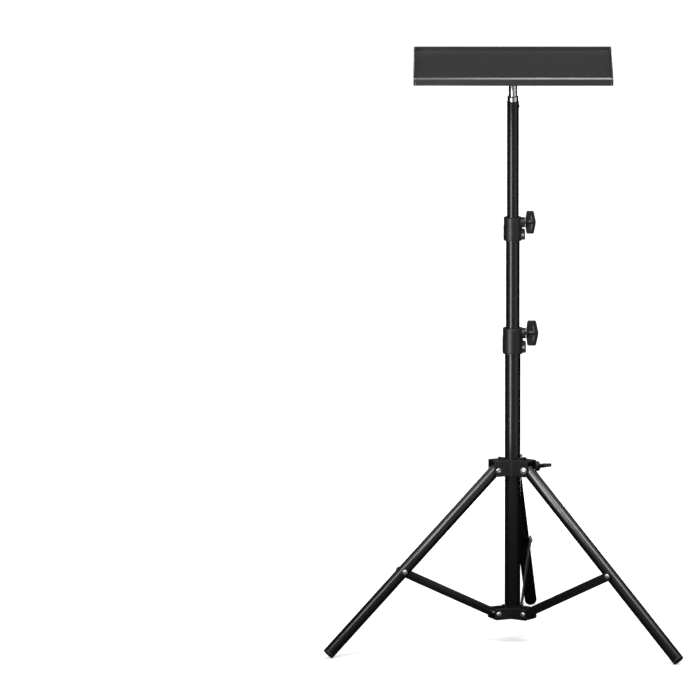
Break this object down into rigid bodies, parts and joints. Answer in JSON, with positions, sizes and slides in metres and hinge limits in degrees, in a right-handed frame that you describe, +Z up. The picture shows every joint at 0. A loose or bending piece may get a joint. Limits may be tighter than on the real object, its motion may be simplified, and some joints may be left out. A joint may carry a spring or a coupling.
{
  "type": "portable projector stand",
  "caption": "Folding tripod stand with a telescoping black tube mast, wing-knob clamps, a chrome spigot and a shallow lipped tray for a small projector.",
  "frame": {"origin": "on the floor, under the axis of the mast", "axes": "+Z up along the mast, +X to the right towards the clamp knobs, +Y to the rear, where one leg points"},
  "size_m": [0.5697, 0.5225, 0.9362],
  "materials": {
    "gloss_black_tube": "satin black stove enamel",
    "black_brace_steel": "black stove enamel on flat bar",
    "black_moulding": "fine-grained moulded black",
    "black_knob": "moulded black, slight sheen",
    "black_foot": "matt moulded rubber",
    "nickel_rivet": "bright nickel plate",
    "zinc_screw": "zinc plate",
    "chrome_spigot": "polished chrome plate",
    "powder_coat_tray": "fine-textured black powder coat"
  },
  "bodies": {
    "column": {"lower_tube": "gloss_black_tube", "tube_end_cap": "black_moulding", "bottom_spider": "black_moulding", "spider_rivets": "nickel_rivet", "lower_clamp_collar": "black_moulding", "lower_clamp_pinch_screw": "zinc_screw"},
    "hub": {"leg_hub": "black_moulding", "hub_rivets": "nickel_rivet"},
    "hub_lock": {"hub_knob": "black_knob", "hub_lock_screw": "zinc_screw"},
    "middle": {"middle_tube": "gloss_black_tube", "upper_clamp_collar": "black_moulding", "upper_clamp_pinch_screw": "zinc_screw"},
    "upper": {"upper_tube": "gloss_black_tube", "spigot": "chrome_spigot", "tube_rivet": "nickel_rivet", "tray_socket": "powder_coat_tray", "tray_deck": "powder_coat_tray", "tray_front_lip": "powder_coat_tray", "tray_rear_lip": "powder_coat_tray", "tray_left_lip": "powder_coat_tray", "tray_right_lip": "powder_coat_tray"},
    "lower_knob": {"lower_clamp_knob": "black_knob", "lower_clamp_screw": "zinc_screw"},
    "upper_knob": {"upper_clamp_knob": "black_knob", "upper_clamp_screw": "zinc_screw"},
    "rear_leg": {"rear_leg_tube": "gloss_black_tube", "rear_leg_foot": "black_foot", "rear_leg_rivet": "nickel_rivet"},
    "rear_brace": {"rear_brace": "black_brace_steel", "rear_brace_rivet": "nickel_rivet"},
    "right_leg": {"right_leg_tube": "gloss_black_tube", "right_leg_foot": "black_foot", "right_leg_rivet": "nickel_rivet"},
    "right_brace": {"right_brace": "black_brace_steel", "right_brace_rivet": "nickel_rivet"},
    "left_leg": {"left_leg_tube": "gloss_black_tube", "left_leg_foot": "black_foot", "left_leg_rivet": "nickel_rivet"},
    "left_brace": {"left_brace": "black_brace_steel", "left_brace_rivet": "nickel_rivet"}
  },
  "joints": [
    {"name": "hub_slide", "type": "slide", "parent": "column", "child": "hub", "axis": [0, 0, 1], "range_m": [0, 0.16]},
    {"name": "middle_slide", "type": "slide", "parent": "column", "child": "middle", "axis": [0, 0, 1], "range_m": [-0.135, 0.186]},
    {"name": "upper_slide", "type": "slide", "parent": "middle", "child": "upper", "axis": [0, 0, 1], "range_m": [-0.168, 0.157]},
    {"name": "lower_knob_turn", "type": "hinge", "parent": "column", "child": "lower_knob", "pos_m": [0.02, 0, 0.5], "axis": [1, 0, 0], "range_deg": [0, 270]},
    {"name": "upper_knob_turn", "type": "hinge", "parent": "middle", "child": "upper_knob", "pos_m": [0.02, 0, 0.6785], "axis": [1, 0, 0], "range_deg": [0, 270]},
    {"name": "hub_knob_turn", "type": "hinge", "parent": "hub", "child": "hub_lock", "pos_m": [0.0273, 0.01244, 0.282], "axis": [0.91, 0.4147, 0], "range_deg": [0, 270]},
    {"name": "rear_leg_fold", "type": "hinge", "parent": "hub", "child": "rear_leg", "pos_m": [0.00287, 0.02986, 0.282], "axis": [-0.9954, 0.0958, 0], "range_deg": [0, 35.11]},
    {"name": "rear_brace_fold", "type": "hinge", "parent": "column", "child": "rear_brace", "pos_m": [0.00287, 0.02986, 0.05], "axis": [0.9954, -0.0958, 0], "range_deg": [0, 49.39]},
    {"name": "right_leg_fold", "type": "hinge", "parent": "hub", "child": "right_leg", "pos_m": [0.02442, -0.01742, 0.282], "axis": [0.5807, 0.8141, 0], "range_deg": [0, 35.11]},
    {"name": "right_brace_fold", "type": "hinge", "parent": "column", "child": "right_brace", "pos_m": [0.02442, -0.01742, 0.05], "axis": [-0.5807, -0.8141, 0], "range_deg": [0, 49.39]},
    {"name": "left_leg_fold", "type": "hinge", "parent": "hub", "child": "left_leg", "pos_m": [-0.0273, -0.01244, 0.282], "axis": [0.4147, -0.91, 0], "range_deg": [0, 35.11]},
    {"name": "left_brace_fold", "type": "hinge", "parent": "column", "child": "left_brace", "pos_m": [-0.0273, -0.01244, 0.05], "axis": [-0.4147, 0.91, 0], "range_deg": [0, 49.39]}
  ],
  "couplings": [
    {"joint": "rear_leg_fold", "follows": "hub_slide", "rad_per_m": 3.8273},
    {"joint": "rear_brace_fold", "follows": "hub_slide", "rad_per_m": 5.3852},
    {"joint": "right_leg_fold", "follows": "hub_slide", "rad_per_m": 3.8273},
    {"joint": "right_brace_fold", "follows": "hub_slide", "rad_per_m": 5.3852},
    {"joint": "left_leg_fold", "follows": "hub_slide", "rad_per_m": 3.8273},
    {"joint": "left_brace_fold", "follows": "hub_slide", "rad_per_m": 5.3852}
  ]
}
